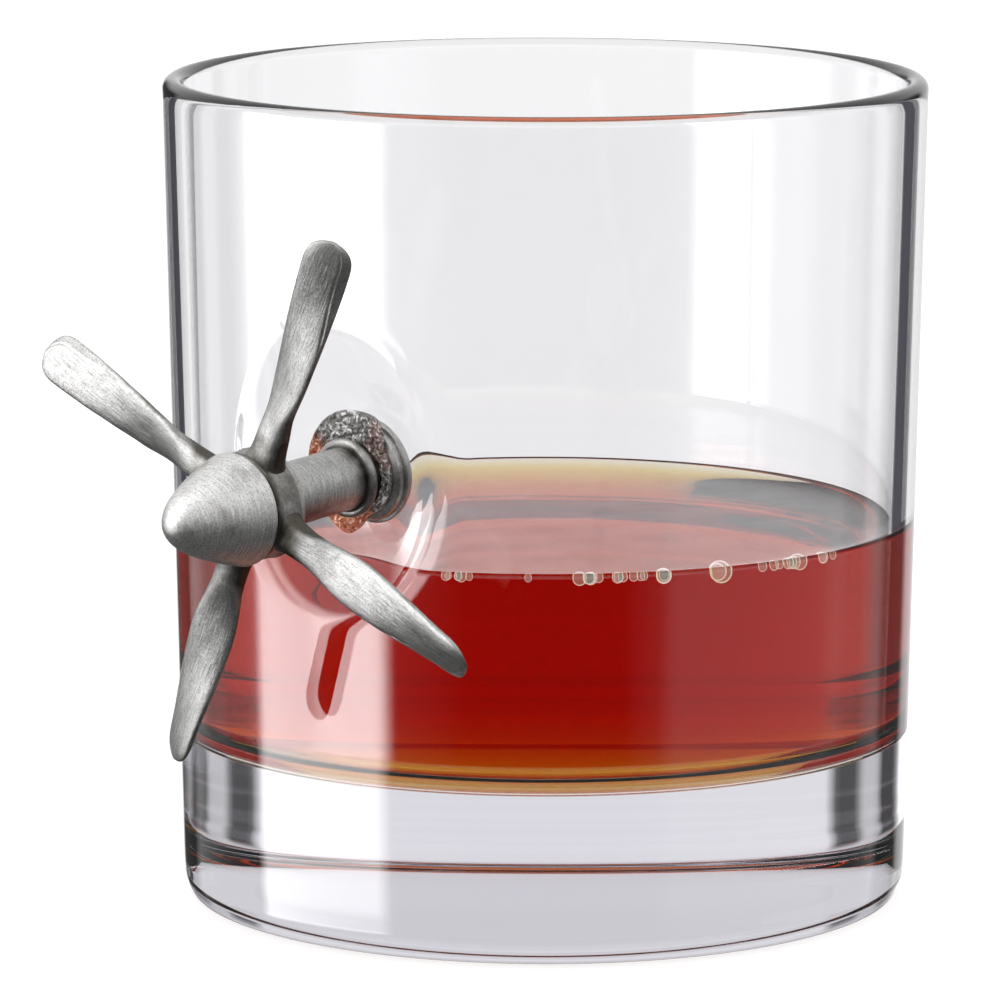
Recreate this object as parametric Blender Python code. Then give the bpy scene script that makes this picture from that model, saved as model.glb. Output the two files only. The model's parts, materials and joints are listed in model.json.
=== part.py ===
# A whisky tumbler with a small pewter propeller mounted on its wall, as an assembly of separate pieces.
# Metres, +Z up. The origin is the centre of the tumbler's flat base, and the propeller faces -X -Y.
import math

import bmesh
import bpy
import numpy as np
from mathutils import Matrix, Vector

MM = 0.001
GAP = 0.3 * MM  # between pieces that touch in the real object

# Tumbler
GLASS_HEIGHT = 89.0 * MM
WALL_RADIUS_TOP = 41.1 * MM  # outer radius, which tapers evenly to the foot
WALL_RADIUS_FOOT = 39.1 * MM
WALL_THICKNESS = 2.3 * MM
HEEL_RADIUS = 3.5 * MM
FLOOR_HEIGHT = 18.0 * MM  # top of the heavy solid base
FLOOR_FILLET = 6.0 * MM
COLUMNS_FAR = 34
COLUMNS_NEAR = 13

# Drink
DRINK_LEVEL = 40.7 * MM

# Mount: where the propeller's shaft enters the wall, and the way that it points
MOUNT_AZIMUTH = math.radians(29.8)  # round from -Y towards -X
MOUNT_RADIUS = 39.0 * MM
MOUNT_HEIGHT = 51.1 * MM
SHAFT_AZIMUTH = math.radians(41.5)
SHAFT_TILT = math.radians(-4.3)
DENT_INNER = 7.4 * MM  # the dimple in the wall: flat out to here
DENT_OUTER = 14.0 * MM  # and blended into the wall here
DENT_DEPTH = 3.5 * MM  # behind the pad's face
BULGE_DEPTH = 5.7 * MM  # of the wall's inner face, behind the pad's face

# Anchor, pad, collar and shaft, as distances along the shaft from the pad's face
PAD_RADIUS = 6.6 * MM
PAD_BORE = 3.6 * MM
PAD_THICKNESS = 0.8 * MM
PLUG_FRONT = -0.9 * MM
PLUG_GROOVE = (-1.6 * MM, -1.8 * MM)
PLUG_BACK = -3.4 * MM
PLUG_RADIUS = 5.1 * MM
PLUG_GROOVE_RADIUS = 4.9 * MM
PLUG_LIP_RADIUS = 5.5 * MM
COLLAR_RADIUS = 4.2 * MM
COLLAR_LENGTH = 1.6 * MM
SHAFT_RADIUS = 3.3 * MM
PIN_RADIUS = 1.2 * MM
PIN_CLEARANCE = 0.1 * MM
PIN_FOOT = -2.8 * MM
PIN_HEAD_RADIUS = 2.2 * MM
PIN_HEAD_LENGTH = 0.9 * MM
WASHER_RADIUS = 2.6 * MM
WASHER_THICKNESS = 0.6 * MM

# Propeller, as distances along the shaft from the blades' plane
BLADE_PLANE = 15.7 * MM  # from the pad's face
HUB_RADIUS = 5.8 * MM
HUB_BACK = -2.0 * MM
HUB_FRONT = 2.0 * MM
SPINNER_RADIUS = 5.9 * MM
SPINNER_LENGTH = 9.8 * MM
SPINNER_BLUNTNESS = 0.46  # power of the remaining length that gives the radius
SPINNER_WALL = 1.2 * MM
BLADES = 4
BLADE_START = math.radians(64.6)
BLADE_TIP = 31.9 * MM
BLADE_FOOT = 6.1 * MM
BLADE_ROUNDING = 27.3 * MM  # where the tip's rounding starts
NECK_HALF_WIDTH = 1.7 * MM
BLADE_HALF_WIDTH = 2.6 * MM
PEG_RADIUS = 1.25 * MM
PEG_START = 4.6 * MM
SOCKET_FLOOR = 4.2 * MM

PEWTER = (0.42, 0.42, 0.41)
DARK_PEWTER = (0.24, 0.23, 0.22)


def clear_scene():
    for existing in list(bpy.data.objects):
        bpy.data.objects.remove(existing, do_unlink=True)


def principled(name, colour, metallic, roughness, transmission=0.0, alpha=1.0):
    made = bpy.data.materials.new(name)
    made.use_nodes = True
    shader = made.node_tree.nodes["Principled BSDF"]
    shader.inputs["Base Color"].default_value = (*colour, 1.0)
    shader.inputs["Metallic"].default_value = metallic
    shader.inputs["Roughness"].default_value = roughness
    shader.inputs["Transmission Weight"].default_value = transmission
    shader.inputs["Alpha"].default_value = alpha
    return made


def add_object(name, points, faces, material, parent=None, sharp_degrees=35):
    """One closed mesh with its faces turned outwards, smooth except at its sharp edges."""
    mesh = bpy.data.meshes.new(name)
    mesh.from_pydata([tuple(point) for point in points], [], faces)
    form = bmesh.new()
    form.from_mesh(mesh)
    bmesh.ops.recalc_face_normals(form, faces=form.faces)
    form.to_mesh(mesh)
    form.free()
    mesh.shade_smooth()
    mesh.set_sharp_from_angle(angle=math.radians(sharp_degrees))
    mesh.materials.append(material)
    made = bpy.data.objects.new(name, mesh)
    bpy.context.scene.collection.objects.link(made)
    made.parent = parent
    return made


def ring_faces(rows, columns, closed=False):
    """Quads between neighbouring rings of points, also from the last ring to the first where closed."""
    last = rows if closed else rows - 1
    return [
        (
            row * columns + column,
            row * columns + (column + 1) % columns,
            (row + 1) % rows * columns + (column + 1) % columns,
            (row + 1) % rows * columns + column,
        )
        for row in range(last)
        for column in range(columns)
    ]


def turned(name, profile, sides, material, parent):
    """A solid turned about its parent's Z. Each profile point is (radius, height). A solid piece's
    profile starts and ends on the axis, and a pierced piece's profile is a closed loop off it."""
    solid = profile[0][0] == 0
    rings = profile[1:-1] if solid else profile
    turn = np.arange(sides) * 2 * math.pi / sides
    points = [
        (radius * math.cos(a), radius * math.sin(a), height)
        for radius, height in rings
        for a in turn
    ]
    faces = ring_faces(len(rings), sides, closed=not solid)
    if solid:
        points += [(0, 0, profile[0][1]), (0, 0, profile[-1][1])]
        start, end = len(points) - 2, len(points) - 1
        base = (len(rings) - 1) * sides
        for column in range(sides):
            following = (column + 1) % sides
            faces.append((start, following, column))
            faces.append((end, base + column, base + following))
    return add_object(name, points, faces, material, parent)


def cut(target, cutter):
    cutter.hide_render = True
    cutter.display_type = "WIRE"
    boolean = target.modifiers.new("cut by " + cutter.name, "BOOLEAN")
    boolean.operation = "DIFFERENCE"
    boolean.solver = "EXACT"
    boolean.object = cutter


def empty(name, matrix):
    made = bpy.data.objects.new(name, None)
    bpy.context.scene.collection.objects.link(made)
    made.matrix_world = matrix
    return made


def smooth(value):
    """0 below 0, 1 above 1, and an S-shaped rise between."""
    value = np.clip(value, 0, 1)
    return value * value * (3 - 2 * value)


# The mount's axis and frame: local Z points out along the shaft, local X lies level
shaft_axis = Vector((
    -math.sin(SHAFT_AZIMUTH) * math.cos(SHAFT_TILT),
    -math.cos(SHAFT_AZIMUTH) * math.cos(SHAFT_TILT),
    math.sin(SHAFT_TILT),
))
level_axis = Vector((math.cos(SHAFT_AZIMUTH), -math.sin(SHAFT_AZIMUTH), 0))
rising_axis = shaft_axis.cross(level_axis)
mount_point = Vector((
    -MOUNT_RADIUS * math.sin(MOUNT_AZIMUTH),
    -MOUNT_RADIUS * math.cos(MOUNT_AZIMUTH),
    MOUNT_HEIGHT,
))


def frame_at(distance):
    """The mount's frame, moved this far out along the shaft."""
    turn = Matrix((level_axis, rising_axis, shaft_axis)).transposed().to_4x4()
    return Matrix.Translation(mount_point + distance * shaft_axis) @ turn


def dented(points, depth, first, last):
    """The points from first to last, near the mount moved along the shaft to a plane behind the pad."""
    axis = np.array(shaft_axis)
    offset = points - np.array(mount_point)
    along = offset @ axis
    aside = np.linalg.norm(offset - along[:, None] * axis, axis=1)
    weight = 1 - smooth((aside - DENT_INNER) / (DENT_OUTER - DENT_INNER))
    weight[along < -3 * BULGE_DEPTH] = 0  # the far side of the cup
    weight[:first] = 0
    weight[last:] = 0
    return points + (weight * (-depth - along))[:, None] * axis


def wall_radius(height):
    return WALL_RADIUS_FOOT + (WALL_RADIUS_TOP - WALL_RADIUS_FOOT) * height / GLASS_HEIGHT


def arc(centre, radius, start, end, steps):
    """Points on a circle, from one angle in degrees to another."""
    angles = np.radians(np.linspace(start, end, steps + 1))
    return [(centre[0] + radius * math.cos(a), centre[1] + radius * math.sin(a)) for a in angles]


def wall_heights(low, high):
    """Rows up the wall, close together beside the mount."""
    near = np.arange(MOUNT_HEIGHT - DENT_OUTER, MOUNT_HEIGHT + DENT_OUTER, 3 * MM)
    far = np.array([10, 20, 28, 72, 80]) * MM
    heights = np.sort(np.concatenate([near, far]))
    return heights[(heights > low) & (heights < high)]


def columns():
    """Angles round the tumbler, close together beside the mount."""
    middle = math.atan2(mount_point.y, mount_point.x)
    reach = math.radians(24)
    near = np.linspace(-reach, reach, COLUMNS_NEAR)
    far = np.linspace(reach, 2 * math.pi - reach, COLUMNS_FAR + 2)[1:-1]
    return middle + np.concatenate([near, far])


def swept_round(profile):
    """World points of a profile carried round the tumbler's axis, ring after ring."""
    turn = columns()
    return np.array([
        (radius * math.cos(a), radius * math.sin(a), height)
        for radius, height in profile
        for a in turn
    ])


def capped(points, rings, bottom, top):
    """The rings closed with a fan at each end, about points on the axis."""
    sides = len(columns())
    faces = ring_faces(rings, sides)
    start, end = rings * sides, rings * sides + 1
    base = (rings - 1) * sides
    for column in range(sides):
        following = (column + 1) % sides
        faces.append((start, following, column))
        faces.append((end, base + column, base + following))
    return np.vstack([points, [(0, 0, bottom), (0, 0, top)]]), faces


def cup_profile(offset=0.0):
    """The inside of the cup from the wall down to the floor, moved in by an offset."""
    foot = wall_radius(FLOOR_HEIGHT) - WALL_THICKNESS - FLOOR_FILLET
    fillet = FLOOR_FILLET - offset
    return arc((foot, FLOOR_HEIGHT + FLOOR_FILLET), fillet, 0, -90, 4)


def make_tumbler():
    foot = WALL_RADIUS_FOOT - HEEL_RADIUS
    lip = WALL_THICKNESS / 2
    rim_centre = wall_radius(GLASS_HEIGHT) - lip
    outside = [(foot * 0.5, 0.0)] + arc((foot, HEEL_RADIUS), HEEL_RADIUS, -90, 0, 4)
    outside += [(wall_radius(z), z) for z in wall_heights(HEEL_RADIUS, GLASS_HEIGHT - lip)]
    rim = arc((rim_centre, GLASS_HEIGHT - lip), lip, 0, 180, 6)
    heights = wall_heights(FLOOR_HEIGHT + FLOOR_FILLET, GLASS_HEIGHT - lip)
    cup = [(wall_radius(z) - WALL_THICKNESS, z) for z in heights[::-1]]
    cup += cup_profile() + [(16 * MM, FLOOR_HEIGHT)]
    profile = outside + rim + cup
    points = swept_round(profile)
    sides = len(columns())
    points = dented(points, DENT_DEPTH, 0, len(outside) * sides)
    points = dented(points, BULGE_DEPTH, (len(outside) + len(rim)) * sides, len(points))
    points, faces = capped(points, len(profile), 0.0, FLOOR_HEIGHT)
    clear_glass = principled("clear glass", (0.93, 0.95, 0.97), 0.0, 0.03, transmission=1.0)
    add_object("tumbler", points, faces, clear_glass)


def make_drink():
    heights = wall_heights(FLOOR_HEIGHT + FLOOR_FILLET, DRINK_LEVEL - 1 * MM)
    side = [(wall_radius(z) - WALL_THICKNESS - GAP, z) for z in heights]
    surface = [(wall_radius(DRINK_LEVEL) - WALL_THICKNESS - GAP, DRINK_LEVEL)]
    profile = [(16 * MM, FLOOR_HEIGHT + GAP)] + cup_profile(GAP)[::-1] + side + surface
    points = swept_round(profile)
    points = dented(points, BULGE_DEPTH + GAP, 0, len(points))
    points[:, 2] = np.minimum(points[:, 2], DRINK_LEVEL)
    points, faces = capped(points, len(profile), FLOOR_HEIGHT + GAP, DRINK_LEVEL)
    red = principled("red drink", (0.55, 0.06, 0.01), 0.0, 0.05, transmission=0.9)
    add_object("drink", points, faces, red)


def make_anchor(mount, pewter, dark):
    """The pieces in and on the wall, which don't turn."""
    resin = principled("rough resin", (0.75, 0.68, 0.62), 0.0, 0.25, transmission=0.6)
    pad = [(PAD_BORE, 0), (PAD_RADIUS, 0), (PAD_RADIUS, -PAD_THICKNESS), (PAD_BORE, -PAD_THICKNESS)]
    turned("bonding_pad", pad, 32, resin, mount)
    pin_hole = PIN_RADIUS + PIN_CLEARANCE
    plug = [
        (0, PIN_FOOT - GAP),
        (pin_hole, PIN_FOOT - GAP),
        (pin_hole, PLUG_FRONT),
        (PLUG_RADIUS, PLUG_FRONT),
        (PLUG_RADIUS, PLUG_GROOVE[0]),
        (PLUG_GROOVE_RADIUS, PLUG_GROOVE[0]),
        (PLUG_GROOVE_RADIUS, PLUG_GROOVE[1]),
        (PLUG_LIP_RADIUS, PLUG_GROOVE[1]),
        (PLUG_LIP_RADIUS, PLUG_BACK),
        (0, PLUG_BACK),
    ]
    turned("anchor_plug", plug, 32, pewter, mount)
    collar_back = GAP
    collar = [
        (PAD_BORE, collar_back),
        (COLLAR_RADIUS, collar_back),
        (COLLAR_RADIUS, collar_back + COLLAR_LENGTH * 0.8),
        (COLLAR_RADIUS - 0.2 * MM, collar_back + COLLAR_LENGTH),
        (PAD_BORE, collar_back + COLLAR_LENGTH),
    ]
    turned("shaft_collar", collar, 32, pewter, mount)
    shaft_front = BLADE_PLANE + HUB_BACK - GAP
    sleeve = [
        (pin_hole, -PAD_THICKNESS),
        (SHAFT_RADIUS, -PAD_THICKNESS),
        (SHAFT_RADIUS, shaft_front),
        (pin_hole, shaft_front),
    ]
    turned("shaft_sleeve", sleeve, 32, pewter, mount)
    washer_back = shaft_front + GAP
    washer("rear_washer", washer_back, mount, dark)
    head_back = BLADE_PLANE + HUB_FRONT + GAP + WASHER_THICKNESS + GAP
    pin = [
        (0, PIN_FOOT),
        (PIN_RADIUS, PIN_FOOT),
        (PIN_RADIUS, head_back),
        (PIN_HEAD_RADIUS, head_back),
        (PIN_HEAD_RADIUS, head_back + 0.6 * PIN_HEAD_LENGTH),
        (0.6 * PIN_HEAD_RADIUS, head_back + PIN_HEAD_LENGTH),
        (0, head_back + PIN_HEAD_LENGTH),
    ]
    turned("axle_pin", pin, 24, dark, mount)


def washer(name, back, parent, material):
    bore = PIN_RADIUS + PIN_CLEARANCE
    front = back + WASHER_THICKNESS
    profile = [(bore, back), (WASHER_RADIUS, back), (WASHER_RADIUS, front), (bore, front)]
    turned(name, profile, 24, material, parent)


def blade_width(radius):
    """Half the chord: a narrow neck, a broad paddle, and a rounded tip."""
    neck_to_paddle = smooth((radius - 8.5 * MM) / (8 * MM))
    width = NECK_HALF_WIDTH + (BLADE_HALF_WIDTH - NECK_HALF_WIDTH) * neck_to_paddle
    tip = np.clip((radius - BLADE_ROUNDING) / (BLADE_TIP - BLADE_ROUNDING), 0, 1)
    return width * np.sqrt(1 - tip**2.6)


def blade_pitch(radius):
    """The blade twists back from the neck, then forward to its tip."""
    back = math.radians(16.6) * smooth((radius - 7 * MM) / (5 * MM))
    forward = math.radians(43) * smooth((radius - 11 * MM) / (21 * MM))
    return forward - back


def blade_thickness(radius):
    """Half the thickness: stout at the neck, thin at the tip."""
    body = 0.62 * MM + 0.7 * MM * (1 - smooth((radius - BLADE_FOOT) / (9 * MM)))
    tip = np.clip((radius - BLADE_ROUNDING) / (BLADE_TIP - BLADE_ROUNDING), 0, 1)
    return body * (1 - 0.6 * tip**2)


def make_blade(name, angle, axle, material):
    """A paddle lofted outwards along local X from a round peg, with its chord across it."""
    sides = 16
    turn = np.arange(sides) * 2 * math.pi / sides
    rings = [
        np.stack([np.full(sides, radius), PEG_RADIUS * np.cos(turn), PEG_RADIUS * np.sin(turn)], 1)
        for radius in (PEG_START, BLADE_FOOT)
    ]
    stations = np.concatenate([
        np.linspace(BLADE_FOOT, BLADE_ROUNDING, 12),
        BLADE_ROUNDING + (BLADE_TIP - BLADE_ROUNDING) * np.array([0.35, 0.6, 0.8, 0.93, 0.985]),
    ])
    for radius in stations:
        across = blade_width(radius) * np.cos(turn)
        through = blade_thickness(radius) * np.sin(turn)
        pitch = blade_pitch(radius)
        side = across * math.cos(pitch) - through * math.sin(pitch)
        forward = across * math.sin(pitch) + through * math.cos(pitch)
        rings.append(np.stack([np.full(sides, radius), side, forward], 1))
    points = np.vstack(rings)
    faces = ring_faces(len(rings), sides)
    faces.append(tuple(range(sides)))
    faces.append(tuple(range((len(rings) - 1) * sides, len(rings) * sides)))
    made = add_object(name, points, faces, material, axle)
    made.rotation_euler.z = angle


def make_propeller(axle, pewter, dark):
    """The pieces that turn together on the pin. Heights are from the blades' plane."""
    bore = PIN_RADIUS + PIN_CLEARANCE
    recess = HUB_BACK + WASHER_THICKNESS + GAP
    recess_radius = WASHER_RADIUS + GAP
    hub_profile = [
        (bore, recess),
        (recess_radius, recess),
        (recess_radius, HUB_BACK),
        (HUB_RADIUS - 0.3 * MM, HUB_BACK),
        (HUB_RADIUS, HUB_BACK + 0.3 * MM),
        (HUB_RADIUS, HUB_FRONT),
        (bore, HUB_FRONT),
    ]
    hub = turned("hub", hub_profile, 40, pewter, axle)
    socket_radius = PEG_RADIUS + GAP
    socket_reach = HUB_RADIUS + 1 * MM
    for number in range(BLADES):
        angle = BLADE_START + number * 2 * math.pi / BLADES
        profile = [
            (0, SOCKET_FLOOR),
            (socket_radius, SOCKET_FLOOR),
            (socket_radius, socket_reach),
            (0, socket_reach),
        ]
        cutter = turned(f"socket cutter {number + 1}", profile, 16, pewter, axle)
        cutter.matrix_local = Matrix.Rotation(angle, 4, "Z") @ Matrix.Rotation(math.pi / 2, 4, "Y")
        cut(hub, cutter)
        make_blade(f"blade_{number + 1}", angle, axle, pewter)
    washer("front_washer", HUB_FRONT + GAP, axle, dark)
    base = HUB_FRONT + GAP
    steps = np.linspace(0, 1, 15)[1:-1]
    left = 1 - np.sin(steps * math.pi / 2) ** 1.5
    nose = [(SPINNER_RADIUS * f**SPINNER_BLUNTNESS, base + SPINNER_LENGTH * (1 - f)) for f in left]
    hollow_radius = SPINNER_RADIUS - 2 * SPINNER_WALL
    hollow_end = base + 0.45 * SPINNER_LENGTH
    profile = [
        (0, hollow_end),
        (0.5 * hollow_radius, hollow_end),
        (hollow_radius, base + 0.25 * SPINNER_LENGTH),
        (hollow_radius, base),
        (SPINNER_RADIUS, base),
        *nose,
        (0, base + SPINNER_LENGTH),
    ]
    turned("spinner", profile, 40, pewter, axle)


def main():
    clear_scene()
    pewter = principled("worn pewter", PEWTER, 0.9, 0.4)
    dark = principled("dark pewter", DARK_PEWTER, 0.9, 0.5)
    make_tumbler()
    make_drink()
    make_anchor(empty("mount axis", frame_at(0)), pewter, dark)
    make_propeller(empty("propeller axis", frame_at(BLADE_PLANE)), pewter, dark)


main()
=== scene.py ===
import json
import math

import bpy
import numpy as np
from mathutils import Matrix, Vector


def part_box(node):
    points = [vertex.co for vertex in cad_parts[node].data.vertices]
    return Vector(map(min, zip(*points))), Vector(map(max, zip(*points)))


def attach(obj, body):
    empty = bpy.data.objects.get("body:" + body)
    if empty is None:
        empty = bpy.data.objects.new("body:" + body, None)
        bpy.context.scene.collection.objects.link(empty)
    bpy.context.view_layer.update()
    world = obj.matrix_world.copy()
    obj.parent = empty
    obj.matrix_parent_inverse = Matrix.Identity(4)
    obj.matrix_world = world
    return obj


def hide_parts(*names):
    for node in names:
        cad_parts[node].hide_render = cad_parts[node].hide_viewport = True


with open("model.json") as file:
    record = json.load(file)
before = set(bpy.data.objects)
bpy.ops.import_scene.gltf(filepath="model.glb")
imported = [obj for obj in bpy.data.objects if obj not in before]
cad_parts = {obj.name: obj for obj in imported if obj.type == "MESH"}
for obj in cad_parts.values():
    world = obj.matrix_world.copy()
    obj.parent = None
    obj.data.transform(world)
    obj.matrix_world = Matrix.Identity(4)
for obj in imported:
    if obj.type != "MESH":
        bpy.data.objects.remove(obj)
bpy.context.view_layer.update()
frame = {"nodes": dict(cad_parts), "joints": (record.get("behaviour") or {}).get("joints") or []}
print("frame loaded")

mm = 0.001
spin = frame["joints"][0]

# where things are, read from the frame
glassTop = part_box("tumbler")[1].z
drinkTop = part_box("drink")[1].z
axisDir = np.array(spin["axis"]) / np.linalg.norm(spin["axis"])
hubCentre = np.array(spin["pos_m"])
levelDir = np.cross(axisDir, (0.0, 0.0, 1.0))
levelDir /= -np.linalg.norm(levelDir)
risingDir = np.cross(axisDir, levelDir)
bladePlane = 15.7 * mm  # the blades' plane, out from the pad's face
mountPoint = hubCentre - bladePlane * axisDir


def smooth(value):  # 0 below 0, 1 above 1, a soft S between, with no kink in its curvature
    value = np.clip(value, 0, 1)
    return value**3 * (value * (6 * value - 15) + 10)


def ripple(a, b, seed, waves=7):  # a sum of sines at random turns and phases, about -1 to 1
    random = np.random.default_rng(seed)
    total = np.zeros(np.broadcast(a, b).shape)
    for _ in range(waves):
        turn, phase = random.uniform(0, 2 * math.pi, 2)
        pace = random.uniform(0.6, 2.0)
        total += np.sin(pace * (a * math.cos(turn) + b * math.sin(turn)) + phase)
    return total / waves**0.5


# quads between the rows of a grid whose columns run round: each end is closed by a fan on its middle
# point, or the last row is joined to the first. The map's u runs round and its v along
def meshFromGrid(name, grid, material, body, closeLoop=False):
    rows, columns = grid.shape[:2]
    across = np.arange(columns)
    follow = (across + 1) % columns
    first = np.arange(rows if closeLoop else rows - 1)[:, None]
    second = (first + 1) % rows
    quads = np.stack([
        first * columns + across, first * columns + follow,
        second * columns + follow, second * columns + across,
    ], axis=-1).reshape(-1, 4)
    points = grid.reshape(-1, 3)
    faces = quads.tolist()
    uStep = np.broadcast_to(across / columns, (len(first), columns))
    vStep = np.broadcast_to(first / max(rows - 1, 1), (len(first), columns))
    step = 1 / max(rows - 1, 1)
    uv = np.stack([
        np.stack([uStep, vStep], -1), np.stack([uStep + 1 / columns, vStep], -1),
        np.stack([uStep + 1 / columns, vStep + step], -1), np.stack([uStep, vStep + step], -1),
    ], axis=2).reshape(-1, 2)
    if not closeLoop:
        start, end = len(points), len(points) + 1
        points = np.vstack([points, grid[0].mean(0), grid[-1].mean(0)])
        base = (rows - 1) * columns
        faces += np.stack([np.full(columns, start), follow, across], -1).tolist()
        faces += np.stack([np.full(columns, end), base + across, base + follow], -1).tolist()
        middle, after, before = ((across + part) / columns for part in (0.5, 1, 0))
        for u, v in (((middle, after, before), 0), ((middle, before, after), 1)):
            corners = np.stack(u, -1)
            uv = np.vstack([uv, np.stack([corners, np.full(corners.shape, float(v))], -1).reshape(-1, 2)])
    mesh = bpy.data.meshes.new(name)
    mesh.from_pydata(points.tolist(), [], faces)
    layer = mesh.uv_layers.new(name="UVMap")
    layer.data.foreach_set("uv", uv.astype(np.float32).ravel())
    mesh.shade_smooth()
    mesh.materials.append(material)
    piece = bpy.data.objects.new(name, mesh)
    bpy.context.scene.collection.objects.link(piece)
    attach(piece, body)
    return piece


def onAxis(across, up, out):  # points in the shaft's own frame to world points
    return mountPoint + across[..., None] * levelDir + up[..., None] * risingDir + out[..., None] * axisDir


# a profile of radii and distances along the shaft, carried round it. The wobble is a faint unevenness
# of the radius, as hand work leaves: a sum of sines round and along it
def turnedGrid(radius, out, columns, wobble=0.0, seed=1):
    angle = np.arange(columns) * 2 * math.pi / columns
    uneven = 1 + wobble * ripple(3 * np.cos(angle) + 2 * np.sin(angle), out[:, None] / mm, seed)
    wide = radius[:, None] * uneven
    return onAxis(wide * np.cos(angle), wide * np.sin(angle), np.broadcast_to(out[:, None], wide.shape))


# a chain of (radius, distance) corners with each inner corner rounded off: a curve that starts towards
# the corner and ends away from it, weighted by the squares of the share left and the share gone
def roundedProfile(corners, radius, steps=5):
    corners = np.array(corners, float)
    path = [corners[0]]
    for before, corner, after in zip(corners[:-2], corners[1:-1], corners[2:]):
        toBefore = before - corner
        toAfter = after - corner
        reach = min(radius, 0.45 * np.linalg.norm(toBefore), 0.45 * np.linalg.norm(toAfter))
        start = corner + toBefore / np.linalg.norm(toBefore) * reach
        end = corner + toAfter / np.linalg.norm(toAfter) * reach
        share = np.linspace(0, 1, steps + 1)[:, None]
        path += list((1 - share) ** 2 * start + 2 * share * (1 - share) * corner + share**2 * end)
    path.append(corners[-1])
    return np.array(path)


def resampled(profile, spacing):  # a profile with points at most this far apart, kinks kept
    pieces = [profile[:1]]
    for start, end in zip(profile[:-1], profile[1:]):
        count = max(1, int(math.ceil(np.linalg.norm(end - start) / spacing)))
        share = np.linspace(0, 1, count + 1)[1:, None]
        pieces.append(start + share * (end - start))
    return np.vstack(pieces)


def newMaterial(name):
    material = bpy.data.materials.new(name)
    material.use_nodes = True
    nodes = material.node_tree.nodes
    return material, nodes, material.node_tree.links, nodes["Principled BSDF"]


def noiseNode(nodes, links, vector, scale, detail=2.0, roughness=0.5):
    noise = nodes.new("ShaderNodeTexNoise")
    noise.inputs["Scale"].default_value = scale
    noise.inputs["Detail"].default_value = detail
    noise.inputs["Roughness"].default_value = roughness
    links.new(vector, noise.inputs["Vector"])
    return noise.outputs["Fac"]


def rampNode(nodes, links, factor, stops):
    ramp = nodes.new("ShaderNodeValToRGB")
    elements = ramp.color_ramp.elements
    while len(elements) < len(stops):
        elements.new(0.5)
    for element, (place, value) in zip(elements, stops):
        element.position = place
        element.color = (*value, 1.0) if isinstance(value, tuple) else (value, value, value, 1.0)
    links.new(factor, ramp.inputs["Fac"])
    return ramp.outputs["Color"]


def connect(links, value, socket):  # a link, or a plain number or colour set on the socket
    if isinstance(value, bpy.types.NodeSocket):
        links.new(value, socket)
    else:
        socket.default_value = (*value, 1.0) if isinstance(value, tuple) else value


def mathNode(nodes, links, kind, *values):
    node = nodes.new("ShaderNodeMath")
    node.operation = kind
    for value, socket in zip(values, node.inputs):
        connect(links, value, socket)
    return node.outputs["Value"]


def mixNode(nodes, links, factor, first, second, kind="RGBA", blend="MIX"):
    node = nodes.new("ShaderNodeMix")
    node.data_type = kind
    node.blend_type = blend
    connect(links, factor, node.inputs["Factor"])
    connect(links, first, node.inputs["A"])
    connect(links, second, node.inputs["B"])
    return node.outputs["Result"]


def groupSocket(tree, name, way, kind, value=None):
    socket = tree.interface.new_socket(name=name, in_out=way, socket_type=kind)
    if value is not None:
        socket.default_value = value
    return socket


pewterValues = {
    "bright": (0.74, 0.735, 0.72),
    "speck": (0.518, 0.5145, 0.504),
    "scratch": (0.62, 0.62, 0.63),  # what a brushed line leaves of the tint
    "dark": (0.13, 0.12, 0.10),
    "speckScale": 5200.0,
    "grainScale": 1100.0,
    "patchScale": 260.0,
    "roughest": 0.52,
    "smoothest": 0.38,
}


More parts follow.
